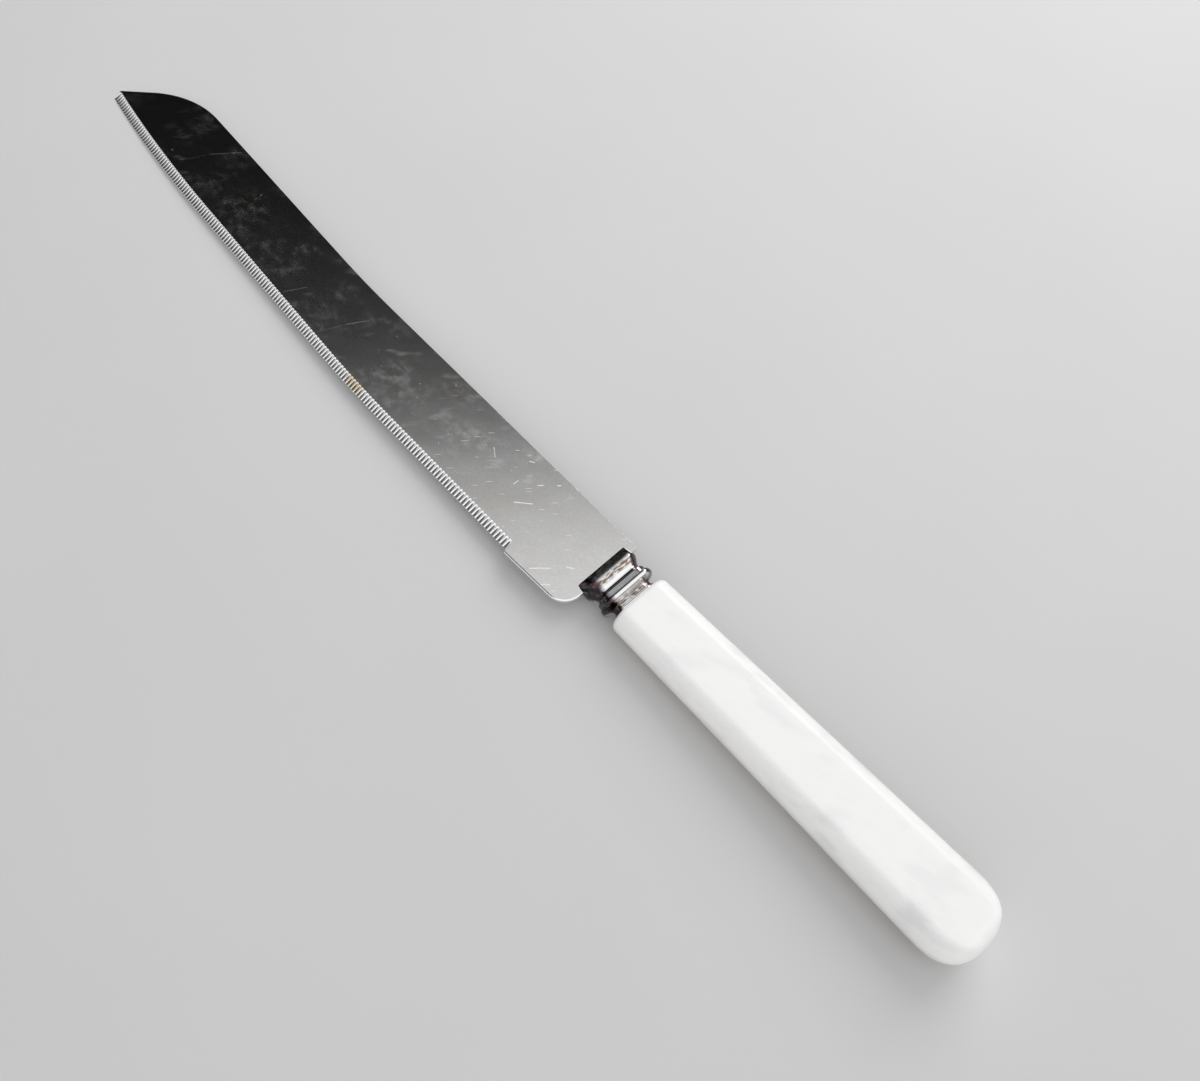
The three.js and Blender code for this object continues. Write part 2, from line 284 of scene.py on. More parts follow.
# Blade steel: bright polish with haze, specks and a few use scratches
steelLook = {
    "colour": (0.775, 0.77, 0.765, 1),
    "warmColour": (0.76, 0.74, 0.7, 1),
    "wornColour": (0.67, 0.665, 0.655, 1),
    "scuffColour": (0.95, 0.95, 0.95, 1),
    "polish": 0.12,
    "hazeDulls": 0.125,  # how much rougher the hazy patches are
    "scuffDulls": 0.3,
    "scuffMetal": 0.3,  # a full scuff is less metallic than the polish
    "unevenness": 0.03,  # mm, slow waves left by polishing
    "patches": {"size": (15, 9, 15), "turn": 0.5, "detail": 2.0, "seed": 4.0, "span": (0.42, 0.66)},
    "powder": {"size": (2.4, 1.8, 2.4), "detail": 2.5, "seed": 9.0, "span": (0.35, 0.75)},
    "smears": {"size": (7, 3.5, 7), "turn": 0.8, "detail": 2.5, "seed": 14.0, "span": (0.56, 0.76)},
    "warmth": {"size": (13, 7, 13), "turn": 0.3, "detail": 3.0, "seed": 21.0, "span": (0.45, 0.75)},
    "wear": {"size": (0.5, 0.5, 0.5), "detail": 3.0, "seed": 17.0, "span": (0.3, 0.7, 0.0, 0.5)},
    "waves": {"size": (14, 9, 14), "turn": 0.2, "detail": 1.0, "seed": 2.0},
    "dashes": {
        "turn": 0.826, "length": 3.0, "width": 0.16, "share": 0.03, "seed": 3.0,
        "rim": (0.12, 0.42), "along": (38, 70, 1.0, 0.0),  # only near the heel
    },
    "specks": {
        "turn": 0.4, "length": 0.42, "width": 0.34, "share": 0.006, "seed": 8.0,
        "rim": (0.12, 0.42), "along": (30, 130, 0.8, 0.2),  # fainter towards the tip
    },
    "stroke": {
        "width": 0.2, "edge": (0.2, 1.0), "ends": (0.4, 0.5),
        "wander": {"size": (2.5, 2.5, 2.5), "detail": 2.0}, "wanderBy": 0.8,
    },
    "scuffs": [  # where each pale rub starts and ends, and how strong it is
        ((24.8, 3.8), (21.2, 0.7), 0.8), ((10.3, 11.9), (6.8, 8.1), 0.75),
        ((5.0, 5.7), (3.4, 4.5), 0.7), ((5.8, 12.6), (4.1, 10.9), 0.7),
        ((24.3, -2.9), (23.2, -4.1), 0.7), ((21.2, -6.1), (20.5, -6.9), 0.7),
        ((30.3, -5.7), (29.0, -6.4), 0.7), ((38.7, -2.4), (36.1, -0.6), 0.5),
        ((28.2, 0.8), (28.1, -0.8), 0.65), ((92.5, 8.4), (89.8, 2.3), 0.15),
        ((89.8, 2.3), (86.6, -3.2), 0.25), ((108.5, 7.7), (105.1, 1.7), 0.2),
        ((162.8, 0.7), (160.5, -4.6), 0.12), ((160.5, -4.6), (154.3, -12.4), 0.2),
        ((168.6, 1.6), (168.1, 1.3), 0.35), ((138.9, -6.7), (138.4, -7.1), 0.4),
    ],
}


def bladeSteel():
    look = steelLook
    finish, tree, shader, place = newFinish("blade_steel")
    dusty = calc(tree, "MULTIPLY", cloud(tree, place, look["patches"]), cloud(tree, place, look["powder"]))
    haze = calc(tree, "MAXIMUM", dusty, cloud(tree, place, look["smears"]))
    dash = flecks(tree, place, look["dashes"])
    pale = calc(tree, "MAXIMUM", flecks(tree, place, look["specks"]), dash)
    for start, end, strength in look["scuffs"]:
        rub = scuff(tree, place, start, end, look["stroke"])
        pale = calc(tree, "MAXIMUM", pale, calc(tree, "MULTIPLY", rub, strength))
    colour = tint(tree, cloud(tree, place, look["warmth"]), look["colour"], look["warmColour"])
    colour = tint(tree, cloud(tree, place, look["wear"]), colour, look["wornColour"])
    colour = tint(tree, pale, colour, look["scuffColour"])
    dull = calc(tree, "ADD", look["polish"], calc(tree, "MULTIPLY", haze, look["hazeDulls"]))
    dull = calc(tree, "ADD", dull, calc(tree, "MULTIPLY", pale, look["scuffDulls"]))
    metal = fade(tree, pale, 0.0, 1.0, 1.0, look["scuffMetal"])
    bump = relief(tree, cloud(tree, place, look["waves"]), look["unevenness"])
    feed(tree, shader, {"Base Color": colour, "Metallic": metal, "Roughness": dull, "Normal": bump})
    return finish


# Ground steel of the flutes, brighter than the faces, with one tea-coloured stain
groundLook = {
    "colour": (0.86, 0.86, 0.86, 1),
    "stainColour": (0.72, 0.57, 0.38, 1),
    "grimeColour": (0.4, 0.36, 0.3, 1),
    "stainAt": (74.7, 10.7, 0),
    "stainSize": (5.0, 2.2, 9),
    "stainFade": (0.75, 1.35, 0.8, 0.0),
    "stainEdge": {"size": (1.2, 1.2, 1.2), "detail": 3.0, "seed": 5.0},
    "grime": {"size": (9, 1.5, 2), "detail": 4.0, "seed": 13.0, "span": (0.55, 0.8, 0.0, 0.18)},
    "grind": {"size": (0.06, 1.6, 1.6), "detail": 2.0, "seed": 3.0},
    "grindDepth": 0.0015,
    "polish": (0.2, 0.8, 0.11, 0.23),
}


def groundSteel():
    look = groundLook
    finish, tree, shader, place = newFinish("ground_edge_steel")
    laid = layOn(tree, place, look["stainAt"], look["stainSize"])
    reach = addNode(tree, "VectorMath", {0: laid}, operation="LENGTH").outputs["Value"]
    ragged = calc(tree, "ADD", reach, cloud(tree, place, look["stainEdge"]))
    colour = tint(tree, fade(tree, ragged, *look["stainFade"]), look["colour"], look["stainColour"])
    colour = tint(tree, cloud(tree, place, look["grime"]), colour, look["grimeColour"])
    grind = cloud(tree, place, look["grind"])
    dull = fade(tree, grind, *look["polish"])
    bump = relief(tree, grind, look["grindDepth"])
    feed(tree, shader, {"Base Color": colour, "Metallic": 1.0, "Roughness": dull, "Normal": bump})
    return finish


# Bright plate of the bolster, gone brown in its hollows, with a painted dark reflection down its flanks and
# on the ends of its top
plateLook = {
    "colour": (0.88, 0.88, 0.885, 1),
    "brown": (0.2, 0.14, 0.1, 1),
    # painted dark reflection: the colour laid on the flanks and on the ends of the top
    "dark": (0.042, 0.04, 0.043, 1),
    "wine": (0.2, 0.05, 0.08, 1),
    "hollows": [(-3.9, 1.0), (-9.9, 0.8)],  # middle and half-length along the knife
    # low in the hollows the painted dark reflection is left off
    "rims": [(-4.7, 1.7), (-9.5, 1.3)],  # where the hollows stay bright low down
    "core": 0.3,  # share of a half-length at full strength
    "rimFrom": (0.3, -0.6, 0.0, 0.9),  # height over the blade's middle
    "flankFrom": (0.12, 0.4),  # how far a face turns to the side
    "endsFrom": (4.2, 5.8),  # how far from the middle the top goes dark
    "endsShift": 0.9,  # more on the edge side than on the spine side
    "wineUpTo": (0.5, 0.8, 1.0, 0.0),  # how far a face with wine spots turns to the side
    "streaks": {"size": (0.35, 1.6, 0.9), "detail": 3.0, "seed": 7.0, "span": (0.36, 0.56, 0.2, 1.0)},
    # patches where the painted dark reflection is thinner
    "reflectionBreakup": {"size": (1.1, 1.1, 1.1), "detail": 4.0, "seed": 19.0, "span": (0.5, 0.8, 1.0, 0.7)},
    "spots": {"size": (0.9, 0.9, 0.9), "detail": 1.0, "seed": 27.0, "span": (0.5, 0.62, 0.0, 0.6)},
    "polish": {"size": (0.5, 2.5, 0.5), "detail": 4.0, "seed": 11.0, "span": (0.35, 0.8, 0.06, 0.18)},
    "ripple": {"size": (0.9, 2.6, 1.4), "detail": 2.0, "seed": 15.0},
    "rippleDepth": 0.012,
}


def bolsterPlate():
    look = plateLook
    finish, tree, shader, place = newFinish("bolster_plate")
    parts = split(tree, place)
    hollow = within(tree, parts[0], look["hollows"], look["core"])
    brown = calc(tree, "MULTIPLY", hollow, cloud(tree, place, look["streaks"]))
    facing = split(tree, addNode(tree, "TexCoord").outputs["Normal"])
    # painted dark reflection: faces turned to the side and the ends of the top take the dark colour, more on
    # the edge side; the wine spots lie only where it lies
    aside = calc(tree, "ABSOLUTE", facing[1])
    across = calc(tree, "ABSOLUTE", calc(tree, "ADD", parts[1], look["endsShift"]))
    ends = fade(tree, across, *look["endsFrom"])
    flank = calc(tree, "MAXIMUM", fade(tree, aside, *look["flankFrom"]), ends)
    rim = within(tree, parts[0], look["rims"], look["core"])
    bright = calc(tree, "MULTIPLY", rim, fade(tree, parts[2], *look["rimFrom"]))
    flank = calc(tree, "MULTIPLY", flank, calc(tree, "SUBTRACT", 1.0, bright))
    crease = calc(tree, "MULTIPLY", flank, fade(tree, aside, *look["wineUpTo"]))
    wine = calc(tree, "MULTIPLY", crease, cloud(tree, place, look["spots"]))
    # painted dark reflection, broken up in patches
    dark = calc(tree, "MULTIPLY", flank, cloud(tree, place, look["reflectionBreakup"]))
    colour = tint(tree, brown, look["colour"], look["brown"])
    colour = tint(tree, dark, colour, look["dark"])
    colour = tint(tree, wine, colour, look["wine"])
    dull = cloud(tree, place, look["polish"])
    bump = relief(tree, cloud(tree, place, look["ripple"]), look["rippleDepth"])
    feed(tree, shader, {"Base Color": colour, "Metallic": 1.0, "Roughness": dull, "Normal": bump})
    return finish


# Pearl-effect plastic: white with cloudy grey patches, and painted shade, darker and warmer, low on its
# sides
pearlLook = {
    "white": (0.95, 0.946, 0.937, 1),
    "grey": (0.8, 0.8, 0.81, 1),
    # painted shade: the warm dark colour the sides take towards their bottom
    "paintedShade": (0.52, 0.475, 0.43, 1),
    "patches": {
        "size": (11, 5, 4), "turn": 0.3, "detail": 3.0, "seed": 6.0,
        "span": (0.48, 0.72, 0.0, 0.6),
    },
    "streaks": {
        "size": (6, 1.1, 0.9), "turn": 0.3, "detail": 3.0, "seed": 12.0,
        "span": (0.48, 0.78, 0.0, 0.6),
    },
    "streaksAlone": 0.3,  # how much of a streak shows outside the patches
    "sides": (4.0, 6.5, 0.6, 1.3),  # the grain is fainter on the faces and stronger down the sides
    "paintedShadeFrom": (2.4, -2.8, 0.0, 0.9),  # height over the blade's middle
    "paintedShadeAside": (2.0, 5.0),
    "polish": {"size": (5, 3, 3), "detail": 4.0, "seed": 3.0, "span": (0.3, 0.8, 0.3, 0.44)},
    "ripple": {"size": (9, 5, 5), "detail": 1.0, "seed": 8.0},
    "rippleDepth": 0.008,
    "body": {
        "IOR": 1.5, "Specular IOR Level": 0.35, "Coat Weight": 0.05, "Coat Roughness": 0.15,
        "Subsurface Weight": 0.12, "Subsurface Radius": (1.0, 0.95, 0.85), "Subsurface Scale": 1.0 * mm,
    },
}


def pearlPlastic():
    look = pearlLook
    finish, tree, shader, place = newFinish("pearl_plastic")
    parts = split(tree, place)
    aside = calc(tree, "ABSOLUTE", parts[1])
    patch = cloud(tree, place, look["patches"])
    streak = cloud(tree, place, look["streaks"])
    streak = calc(tree, "MULTIPLY", streak, calc(tree, "ADD", patch, look["streaksAlone"]))
    grain = calc(tree, "MAXIMUM", patch, streak)
    grain = calc(tree, "MULTIPLY", grain, fade(tree, aside, *look["sides"]))
    # painted shade: darker and warmer towards the bottom of the sides, on both sides alike
    low = fade(tree, parts[2], *look["paintedShadeFrom"])
    low = calc(tree, "MULTIPLY", low, fade(tree, aside, *look["paintedShadeAside"]))
    colour = tint(tree, grain, look["white"], look["grey"])
    colour = tint(tree, low, colour, look["paintedShade"])
    dull = cloud(tree, place, look["polish"])
    bump = relief(tree, cloud(tree, place, look["ripple"]), look["rippleDepth"])
    feed(tree, shader, {**look["body"], "Base Color": colour, "Roughness": dull, "Normal": bump})
    return finish


# Set resin round the tang
cementLook = {
    "dark": (0.10, 0.055, 0.03, 1),
    "light": (0.22, 0.13, 0.07, 1),
    "grain": {"size": (0.8, 0.8, 0.8), "detail": 5.0, "seed": 1.0},
    "polish": (0.3, 0.7, 0.6, 0.9),
    "grainDepth": 0.05,
}


def tangCement():
    look = cementLook
    finish, tree, shader, place = newFinish("tang_cement")
    grain = cloud(tree, place, look["grain"])
    colour = tint(tree, grain, look["dark"], look["light"])
    dull = fade(tree, grain, *look["polish"])
    bump = relief(tree, grain, look["grainDepth"])
    feed(tree, shader, {"Base Color": colour, "Roughness": dull, "Normal": bump})
    return finish


# Blade
bladeShape = {
    "seat": 2.1,  # depth of the root between the bolster's jaws
    "spineHeight": 8.717,
    "spineRise": 0.006,
    "spineBendAt": 96.3,
    "spineSweep": 0.062,
    "spineBendRadius": 374,
    "noseFall": 43,  # degrees
    "noseRadius": 28,
    "tipLand": 0.4,
    "tipRadius": 0.8,
    "rootRadius": 0.9,
    "edgeDrop": 12.35,
    "edgeBendAt": 73.3,
    "edgeSweep": 0.055,
    "edgeBendRadius": 470,
    "bellyLength": 26.8,
    "bellySweep": 0.165,
    "bellyRadius": 490,
    "heelLength": 17.6,
    "heelProud": 0.95,
    "heelTaper": 0.035,
    "heelRadius": 5,
    "runOut": 0.8,
    "runOutSteps": 14,
    "tangHalf": 3,
    "tangLength": 56,
    "tangChamfer": 1.2,
    "spineSoft": (0.02, 0.02),  # rounding of each stretch: reach over the face, and depth
    "heelSoft": (0.4, 0.4),
    "tangSoft": (0.06, 0.06),
    "softSteps": 4,
    "sag": 0.002,  # how far the facets of a curve may fall short of it
    "edgeSag": 0.0002,
    "sharp": math.radians(28),
}
fluteShape = {
    "pitch": 1.0545,
    "depth": 0.27,
    "flatness": 3,  # 2 is a round groove, more has a flatter bed and steeper walls
    "lobe": 1.2,  # how much deeper a flute bites at its upper end
    "width": 1.95,
    "tipWidth": 2.4,
    "hollow": 0.4,  # hollow grind of the bevel
    "land": 0.1,  # thickness left at the cutting edge
    "lean": 0.15,  # how far the upper ends stand back towards the handle
    "facets": 18,
}


def bladeColumns():  # (lower point, upper point, rounding, is ground) round the outline, spine upwards
    b, f = bladeShape, fluteShape
    root = -b["seat"]
    tangEnd = root - b["tangLength"]
    tang = b["tangHalf"]
    heelEnd = b["heelLength"] - b["runOut"]
    heelDrop = b["edgeDrop"] + b["heelProud"]
    heelBack = heelDrop - b["heelTaper"] * (heelEnd - root)
    bellyAt = bladeReach - b["bellyLength"]
    bellyHeight = b["edgeSweep"] * (bellyAt - b["edgeBendAt"]) - b["edgeDrop"]
    tipEdge = bellyHeight + b["bellySweep"] * b["bellyLength"]
    tipTop = tipEdge + f["tipWidth"] + b["tipLand"]
    bendHeight = b["spineHeight"] + b["spineRise"] * (b["spineBendAt"] - root)
    fall = math.tan(math.radians(b["noseFall"]))
    rise = tipTop + fall * bladeReach - bendHeight + b["spineSweep"] * b["spineBendAt"]
    noseAt = rise / (fall + b["spineSweep"])
    noseHeight = bendHeight + b["spineSweep"] * (noseAt - b["spineBendAt"])

    def plain(line, soft, ground=False):
        return [(p, p, soft, ground) for p in line]

    underTang = [Vector((tangEnd, b["tangChamfer"] - tang)), Vector((tangEnd + b["tangChamfer"], -tang))]
    overTang = [Vector((p.x, -p.y)) for p in reversed(underTang)]
    heel = roundedLine([
        (root, -tang),
        (root, -heelBack, b["heelRadius"]),
        (heelEnd, -heelDrop),
    ], b["sag"])
    edge = roundedLine([
        (b["heelLength"], -b["edgeDrop"]),
        (b["edgeBendAt"], -b["edgeDrop"], b["edgeBendRadius"]),
        (bellyAt, bellyHeight, b["bellyRadius"]),
        (bladeReach, tipEdge),
    ], b["edgeSag"])
    spine = roundedLine([
        (bladeReach, tipEdge),
        (bladeReach, tipTop, b["tipRadius"]),
        (noseAt, noseHeight, b["noseRadius"]),
        (b["spineBendAt"], bendHeight, b["spineBendRadius"]),
        (root, b["spineHeight"], b["rootRadius"]),
        (root, tang),
    ], b["sag"])

    columns = plain(underTang + heel[:1], b["tangSoft"]) + plain(heel[1:], b["heelSoft"], True)
    for i in range(1, b["runOutSteps"]):
        share = i / b["runOutSteps"]
        angle = share * quarterTurn
        lower = (heelEnd + b["runOut"] * share, mix(-heelDrop, -b["edgeDrop"], smooth(share)))
        upperX = heelEnd + b["runOut"] * (1 - math.cos(angle))
        upper = (upperX, mix(-heelDrop, f["width"] - b["edgeDrop"], math.sin(angle)))
        columns.append((Vector(lower), Vector(upper), None, True))

    flutes = round(lineLength(edge) / f["pitch"])
    for i, (place, way) in enumerate(walk(edge, flutes * f["facets"])):
        across = (i % f["facets"]) / f["facets"] * 2 - 1
        bite = f["depth"] * (1 - abs(across) ** f["flatness"])
        inward = Vector((-way.y, way.x))
        along = min(1.0, max(0.0, (place.x - b["edgeBendAt"]) / (bellyAt - b["edgeBendAt"])))
        width = mix(f["width"], f["tipWidth"], smooth(along))
        upper = place + inward * (width + bite * f["lobe"]) - way * f["lean"]
        columns.append((place + inward * bite, upper, None, True))
    columns += plain(spine[1:-1], b["spineSoft"]) + plain(spine[-1:] + overTang, b["tangSoft"])
    return columns


def columnRows(lower, upper, inward, soft):  # (point, height) from the underside to the top face
    steps = bladeShape["softSteps"]
    if soft:
        reach, depth = soft
        under = []
        for angle in quarterAngles(steps):
            drawnIn = lower + inward * reach * (1 - math.sin(angle))
            under.append((drawnIn, depth * (1 - math.cos(angle)) - halfBlade))
        return under + [(p, -z) for p, z in reversed(under)]
    f = fluteShape
    rows = [(lower, -halfBlade)]
    bevelSteps = 2 * steps  # as many rows as a rounded column has
    for i in range(bevelSteps + 1):
        up = i / bevelSteps
        share = up + f["hollow"] * up * (1 - up)
        rows.append((lower.lerp(upper, share), mix(f["land"] - halfBlade, halfBlade, up)))
    return rows


def makeBlade():
    columns = bladeColumns()
    count = len(columns)
    bm = bmesh.new()
    grid = []
    for i in range(count):
        lower, upper, soft = columns[i][:3]
        back = (lower - columns[i - 1][0]).normalized()
        ahead = (columns[(i + 1) % count][0] - lower).normalized()
        way = (back + ahead).normalized()
        rows = columnRows(lower, upper, Vector((-way.y, way.x)), soft)
        grid.append([bm.verts.new(spot(p.x, -p.y, z)) for p, z in rows])
    rings = [list(ring) for ring in zip(*grid)]
    for k, face in enumerate(skin(bm, rings)):
        isGround = columns[k % count][3]
        face.material_index = 1 if isGround else 0
    caps = [bm.faces.new(rings[0]), bm.faces.new(rings[-1])]
    bmesh.ops.recalc_face_normals(bm, faces=bm.faces)
    softShade(bm, bladeShape["sharp"])
    for cap in caps:
        cap.smooth = False
        for edge in cap.edges:
            edge.smooth = False
    standFor(newObject("fluted_blade", bm), "blade", "blade_steel", bladeSteel(), groundSteel())


makeBlade()

# Bolster and handle share one kind of section: flat faces, barrel sides and soft creases between
sectionShape = {
    "flatSteps": 4,
    "creaseSteps": 6,
    "mostSwell": 0.9,  # share of the half width or half thickness that the sides may bulge
}


def sectionRing(x, halfWidth, halfThickness, fullSwell, softEdge, sideSteps):
    flatSteps, creaseSteps = sectionShape["flatSteps"], sectionShape["creaseSteps"]
    most = sectionShape["mostSwell"]
    swell = min(fullSwell, most * halfThickness, most * halfWidth)
    radius = (halfThickness ** 2 + swell ** 2) / (2 * swell)
    soft = min(softEdge, swell / 2, (halfWidth - swell) / 2)
    rim = math.asin(halfThickness / radius) - soft / radius

    def onSide(angle):
        return Vector((halfWidth - radius * (1 - math.cos(angle)), radius * math.sin(angle)))

    crease = Vector((halfWidth - swell, halfThickness))
    start, end = crease - Vector((soft, 0)), onSide(rim)
    quarter = [Vector((start.x * i / flatSteps, halfThickness)) for i in range(flatSteps)]
    for i in range(creaseSteps + 1):
        t = i / creaseSteps
        quarter.append(start * (1 - t) ** 2 + crease * (2 * t * (1 - t)) + end * t ** 2)
    quarter += [onSide(rim * (1 - i / sideSteps)) for i in range(1, sideSteps + 1)]
    half = quarter + [Vector((p.x, -p.y)) for p in reversed(quarter[:-1])]
    ring = half + [Vector((-p.x, p.y)) for p in reversed(half[1:-1])]
    return [spot(x, p.x, p.y) for p in ring]


def loft(bm, rings):
    made = [[bm.verts.new(p) for p in ring] for ring in rings]
    skin(bm, made)
    bm.faces.new(made[0])
    bm.faces.new(made[-1])
    bmesh.ops.recalc_face_normals(bm, faces=bm.faces)
    bmesh.ops.triangulate(bm, faces=bm.faces)  # flat faces, so the slots cut cleanly


bolsterShape = {
    "flangeHalfWidth": 7.15,
    "flangeHalfThickness": 4.1,
    "flangeLength": 0.2,
    "noseLength": 3.0,
    "noseFullness": 1.05,  # 1 is a straight slope, 2 a quarter of an ellipse
    "noseLip": 0.15,
    "noseDraw": 0.25,
    "noseSteps": 20,
    "coveLength": 3.2,
    "coveDepth": 0.75,
    "filletLength": 0.95,
    "filletRise": 0.08,
    "beadLength": 1.4,
    "beadRise": 0.5,
    "neckCoveLength": 0.85,
    "neckDepth": 1.95,
    "neckLength": 0.8,
    "collarLength": 0.9,
    "collarRise": 0.4,
    "swell": 1.6,
    "softEdge": 0.7,
    "sideSteps": 14,
    "tangClearance": 0.3,
    "sharp": math.radians(40),
}


def mouldingStations():  # (x, half width, half thickness) from the nose back to the handle
    s = bolsterShape
    stations = []
    for angle in quarterAngles(s["noseSteps"]):
        ahead = max(0.0, math.cos(angle)) ** (2 / s["noseFullness"])
        raised = math.sin(angle) ** (2 / s["noseFullness"])
        halfWidth = s["flangeHalfWidth"] - s["noseDraw"] * (1 - raised)
        halfThickness = mix(halfBlade + s["noseLip"], s["flangeHalfThickness"], raised)
        stations.append((-s["noseLength"] * (1 - ahead), halfWidth, halfThickness))

    def arch(share):
        return math.sqrt(max(0.0, 1 - (2 * share - 1) ** 2))

    def hump(share):  # deepest two thirds along, where it is one
        return 6.75 * share * share * (1 - share)

    filletSunk = s["beadRise"] + s["filletRise"]
    runs = [  # length, steps, and how deep the surface is sunk along it
        (s["flangeLength"], 3, lambda t: 0.0),
        (s["coveLength"], 22, lambda t: filletSunk * t + s["coveDepth"] * hump(t)),
        (s["filletLength"], 3, lambda t: mix(filletSunk, s["beadRise"], t)),
        (s["beadLength"], 16, lambda t: s["beadRise"] * (1 - arch(t))),
        (s["neckCoveLength"], 10, lambda t: mix(s["beadRise"], s["neckDepth"], math.sin(t * quarterTurn))),
        (s["neckLength"], 2, lambda t: s["neckDepth"]),
        (s["collarLength"], 10, lambda t: s["neckDepth"] - s["collarRise"] * arch(t)),
    ]
    start = s["noseLength"]
    for length, steps, sunkAt in runs:
        for i in range(1, steps + 1):
            sunk = sunkAt(i / steps)
            x = -start - length * i / steps
            stations.append((x, s["flangeHalfWidth"] - sunk, s["flangeHalfThickness"] - sunk))
        start += length
    return stations


def makeBolster():
    s = bolsterShape
    stations = mouldingStations()
    bm = bmesh.new()
    loft(bm, [sectionRing(x, w, t, s["swell"], s["softEdge"], s["sideSteps"]) for x, w, t in stations])
    piece = newObject("moulded_bolster", bm)
    seat, slotHalf = bladeShape["seat"], bladeShape["tangHalf"] + s["tangClearance"]
    wide = 2 * s["flangeHalfWidth"]
    behind = 2 * stations[-1][0]
    jaws = boxCutter("jaws", (-seat, -wide, -halfBlade), (seat, wide, halfBlade))
    slot = boxCutter("slot", (behind, -slotHalf, -halfBlade), (-seat / 2, slotHalf, halfBlade))
    carve(piece, [jaws, slot], s["sharp"])
    standFor(piece, "bolster", "bolster_plate", bolsterPlate())


makeBolster()

# Handle
handleShape = {
    "frontHalfWidth": 7.7,
    "buttHalfWidth": 9.22,
    "frontHalfThickness": 4.7,
    "buttHalfThickness": 6.197,
    "frontSwell": 3.05,
    "buttSwell": 3.5,
    "frontEdgeRadius": 1.2,
    "buttRound": 10,
    "buttDome": 4,
    "buttFullness": 2.6,
    "softEdge": 0.7,
    "cementWall": 0.9,
    "cementEnd": 3,
    "sideSteps": 16,
    "buttSteps": 40,
    "buttSkip": 2,  # the first steps are left out, so the end is a small flat
    "barrelSteps": 24,
    "edgeSteps": 10,
    "sharp": math.radians(40),
}


def makeHandle():
    s = handleShape
    length = handleFront - buttEnd

    def ringAt(x, inset):
        share = (x - buttEnd) / length
        rounded = max(0.0, 1 - (x - buttEnd) / s["buttRound"]) ** s["buttFullness"]
        domed = max(0.0, 1 - (x - buttEnd) / s["buttDome"]) ** 2
        halfWidth = mix(s["buttHalfWidth"], s["frontHalfWidth"], share)
        halfWidth *= (1 - rounded) ** (1 / s["buttFullness"])
        halfThickness = mix(s["buttHalfThickness"], s["frontHalfThickness"], share)
        halfThickness *= math.sqrt(1 - domed)
        swell = mix(s["buttSwell"], s["frontSwell"], share)
        return sectionRing(x, halfWidth - inset, halfThickness - inset, swell, s["softEdge"], s["sideSteps"])

    buttLength = max(s["buttRound"], s["buttDome"])
    edgeRadius = s["frontEdgeRadius"]
    barrelEnd = handleFront - edgeRadius
    rings = []
    for angle in quarterAngles(s["buttSteps"])[s["buttSkip"]:]:
        rings.append(ringAt(buttEnd + buttLength * (1 - math.cos(angle)), 0.0))
    for i in range(1, s["barrelSteps"]):
        rings.append(ringAt(mix(buttEnd + buttLength, barrelEnd, i / s["barrelSteps"]), 0.0))
    for angle in quarterAngles(s["edgeSteps"]):
        rings.append(ringAt(barrelEnd + edgeRadius * math.sin(angle), edgeRadius * (1 - math.cos(angle))))
    bm = bmesh.new()
    loft(bm, rings)
    piece = newObject("pearl_handle", bm)
    halfWide = bladeShape["tangHalf"] + s["cementWall"]
    halfThick = halfBlade + s["cementWall"]
    socketEnd = -bladeShape["seat"] - bladeShape["tangLength"] - s["cementEnd"]
    mouth = handleFront + edgeRadius
    socket = boxCutter("socket", (socketEnd, -halfWide, -halfThick), (mouth, halfWide, halfThick))
    carve(piece, [socket], s["sharp"])
    standFor(piece, "handle", "pearl_plastic", pearlPlastic())


makeHandle()

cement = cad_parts["tang_cement"]
cement.data.materials.clear()
cement.data.materials.append(tangCement())
print("finished", cement.name)

# Floor: the knife lies on its tip and on the front of the handle's underside
floorLook = {
    "size": 6.0,  # metres
    "segments": 8,
    "gap": 0.02,  # mm under the knife
    "colour": (0.66, 0.66, 0.66, 1),
    "shade": (0.63, 0.63, 0.635, 1),
    "clouds": {"size": (60, 60, 60), "detail": 4.0, "seed": 0.0},
    "body": {"Roughness": 0.7, "Specular IOR Level": 0.2},
}


def makeFloor():
    h, look = handleShape, floorLook
    heelX = handleFront - h["frontEdgeRadius"]
    taper = (h["buttHalfThickness"] - h["frontHalfThickness"]) / (handleFront - buttEnd)
    heelZ = -h["frontHalfThickness"] - taper * h["frontEdgeRadius"]
    slope = (-halfBlade - heelZ) / (bladeReach - heelX)
    count = look["segments"]
    bm = bmesh.new()
    bmesh.ops.create_grid(bm, x_segments=count, y_segments=count, size=look["size"] / 2)
    floor = newObject("floor", bm)
    floor.rotation_euler = (0, -math.atan(slope), 0)
    floor.location = spot(heelX, 0, heelZ - look["gap"])
    finish, tree, shader, place = newFinish("pale_floor")
    colour = tint(tree, cloud(tree, place, look["clouds"]), look["colour"], look["shade"])
    feed(tree, shader, {**look["body"], "Base Color": colour})
    floor.data.materials.append(finish)
    print("floor laid")


makeFloor()

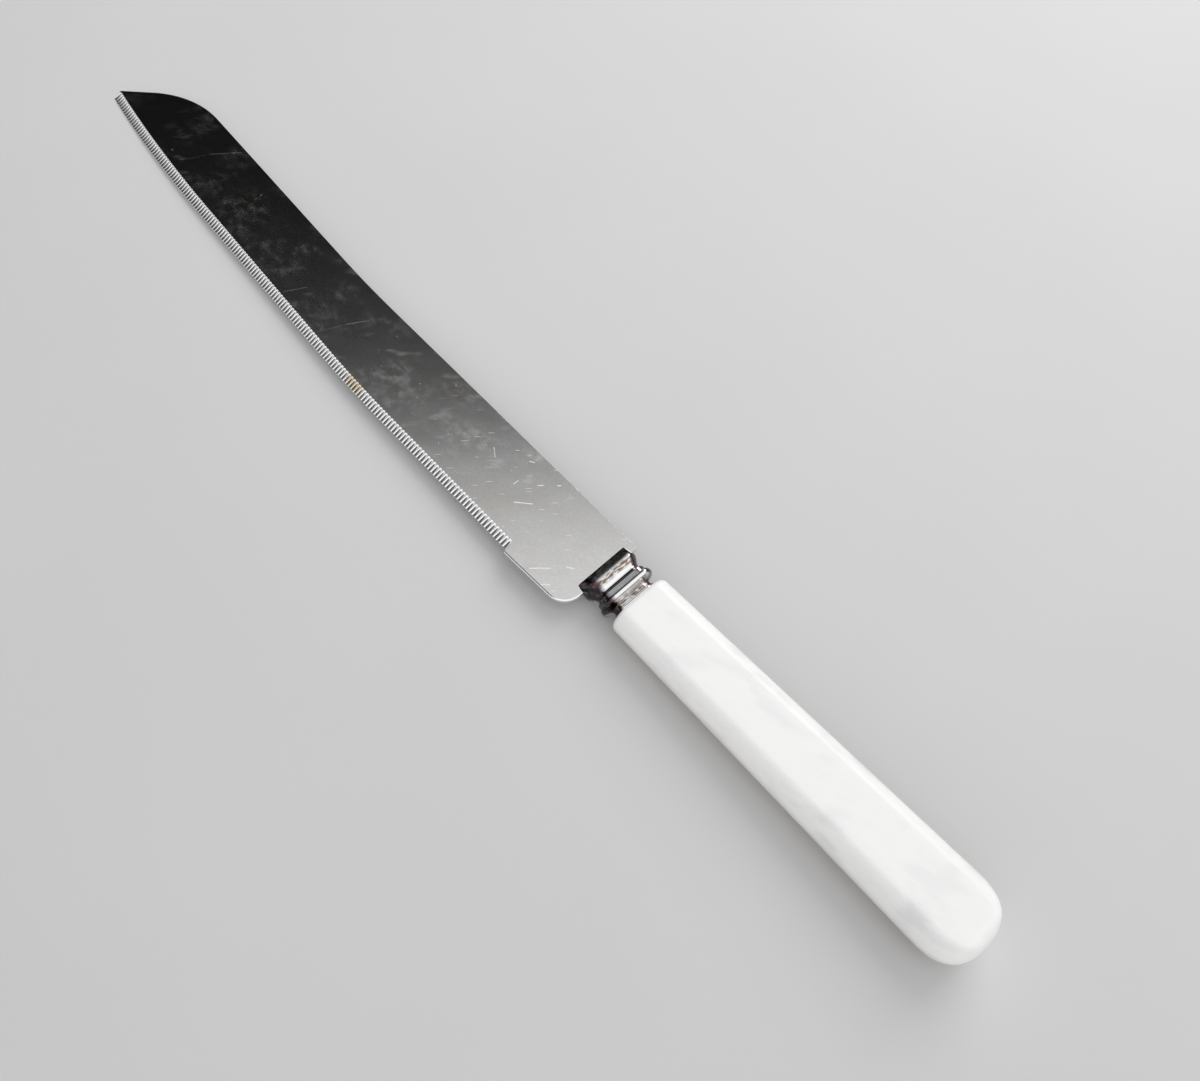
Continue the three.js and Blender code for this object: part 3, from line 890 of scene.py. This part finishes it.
# Studio: a soft key from the spine's side, and a sky that is bright behind the handle
# and dark past the tip. Directions are in the knife's own axes
studio = {
    "brightSide": (-0.5, 0.4, 0.6),
    "sky": [  # how far a direction points to the bright side, from -1 to 1, and its light
        (-0.17, 0.004), (-0.013, 0.011), (0.082, 0.036), (0.165, 0.135),
        (0.237, 0.45), (0.32, 0.78), (0.68, 1.08),
    ],
    "glow": (1.2, 1.2, 1.2, 1),
    "glowSide": (0.15, 0.5),  # how far towards the edge side the sky turns bright
    "farGlow": (0.5, 0.5, 0.5, 1),
    "farSide": (-0.5, -0.85),  # how far towards the spine side it turns grey
    "card": (0.5, 0.44, 0.75),  # dark card high over the edge side, which greys the flutes
    "cardRim": (0.85, 0.93),
    "cardShade": (0.1, 0.1, 0.1, 1),
    "dusk": (0.55, 0.55, 0.55, 1),  # low behind the handle the sky is greyer
    "duskSide": (-0.25, -0.5),
    "duskBelow": (0.55, 0.3),
    "horizon": (0.62, 0.62, 0.62, 1),
    "horizonBelow": (0.22, 0.28, 1.0, 0.0),  # sine of the height over the floor
    "keyFrom": (120, -620, 520),  # mm from the bolster's front
    "keySize": 0.6,
    "keyPower": 3.4,
}


def makeSky():
    world = bpy.data.worlds.new("studio_sky")
    world.use_nodes = True
    bpy.context.scene.world = world
    tree = world.node_tree
    tree.nodes.clear()
    way = addNode(tree, "TexCoord").outputs["Generated"]
    parts = split(tree, way)

    def towards(pole):  # one straight towards it, minus one straight away
        inputs = {0: way, 1: Vector(pole).normalized()}
        return addNode(tree, "VectorMath", inputs, operation="DOT_PRODUCT").outputs["Value"]

    level = calc(tree, "MULTIPLY_ADD", towards(studio["brightSide"]), 0.5, 0.5)
    ramp = addNode(tree, "ValToRGB", {0: level})
    stops = ramp.color_ramp.elements
    while len(stops) < len(studio["sky"]):
        stops.new(0.5)
    for stop, (place, light) in zip(stops, studio["sky"]):
        stop.position = place / 2 + 0.5
        stop.color = (light, light, light, 1)
    glow = fade(tree, parts[1], *studio["glowSide"])
    far = fade(tree, parts[1], *studio["farSide"])
    card = fade(tree, towards(studio["card"]), *studio["cardRim"])
    behind = fade(tree, parts[0], *studio["duskSide"])
    dusk = calc(tree, "MULTIPLY", behind, fade(tree, parts[2], *studio["duskBelow"]))
    low = fade(tree, parts[2], *studio["horizonBelow"])
    light = tint(tree, glow, ramp.outputs[0], studio["glow"])
    light = tint(tree, far, light, studio["farGlow"], "LIGHTEN")
    light = tint(tree, card, light, studio["cardShade"], "MULTIPLY")
    light = tint(tree, dusk, light, studio["dusk"], "MULTIPLY")
    light = tint(tree, low, light, studio["horizon"])
    sky = addNode(tree, "Background", {"Color": light, "Strength": 1.0})
    addNode(tree, "OutputWorld", {"Surface": sky.outputs[0]})


def makeKey():
    lamp = bpy.data.lights.new("key", "AREA")
    lamp.shape = "SQUARE"
    lamp.size = studio["keySize"]
    lamp.energy = studio["keyPower"]
    pointAt(addObject("key", lamp), spot(*studio["keyFrom"]), home)


makeSky()
makeKey()

# Camera at the photograph's viewing angle, places in knife millimetres
photoView = {
    "stand": (-65.0, 60.3, 197.1),
    "aim": (4.9, -4.2, 0.0),
    "lens": 30,
    "sensor": 36,
    "nearest": 0.01,  # metres
}


def makeCamera():
    data = bpy.data.cameras.new("photo_view")
    data.lens = photoView["lens"]
    data.sensor_width = photoView["sensor"]
    data.clip_start = photoView["nearest"]
    camera = addObject("photo_view", data)
    pointAt(camera, spot(*photoView["stand"]), spot(*photoView["aim"]))
    bpy.context.scene.camera = camera


makeCamera()
bpy.context.scene.view_settings.view_transform = "Standard"
print("studio and camera set")
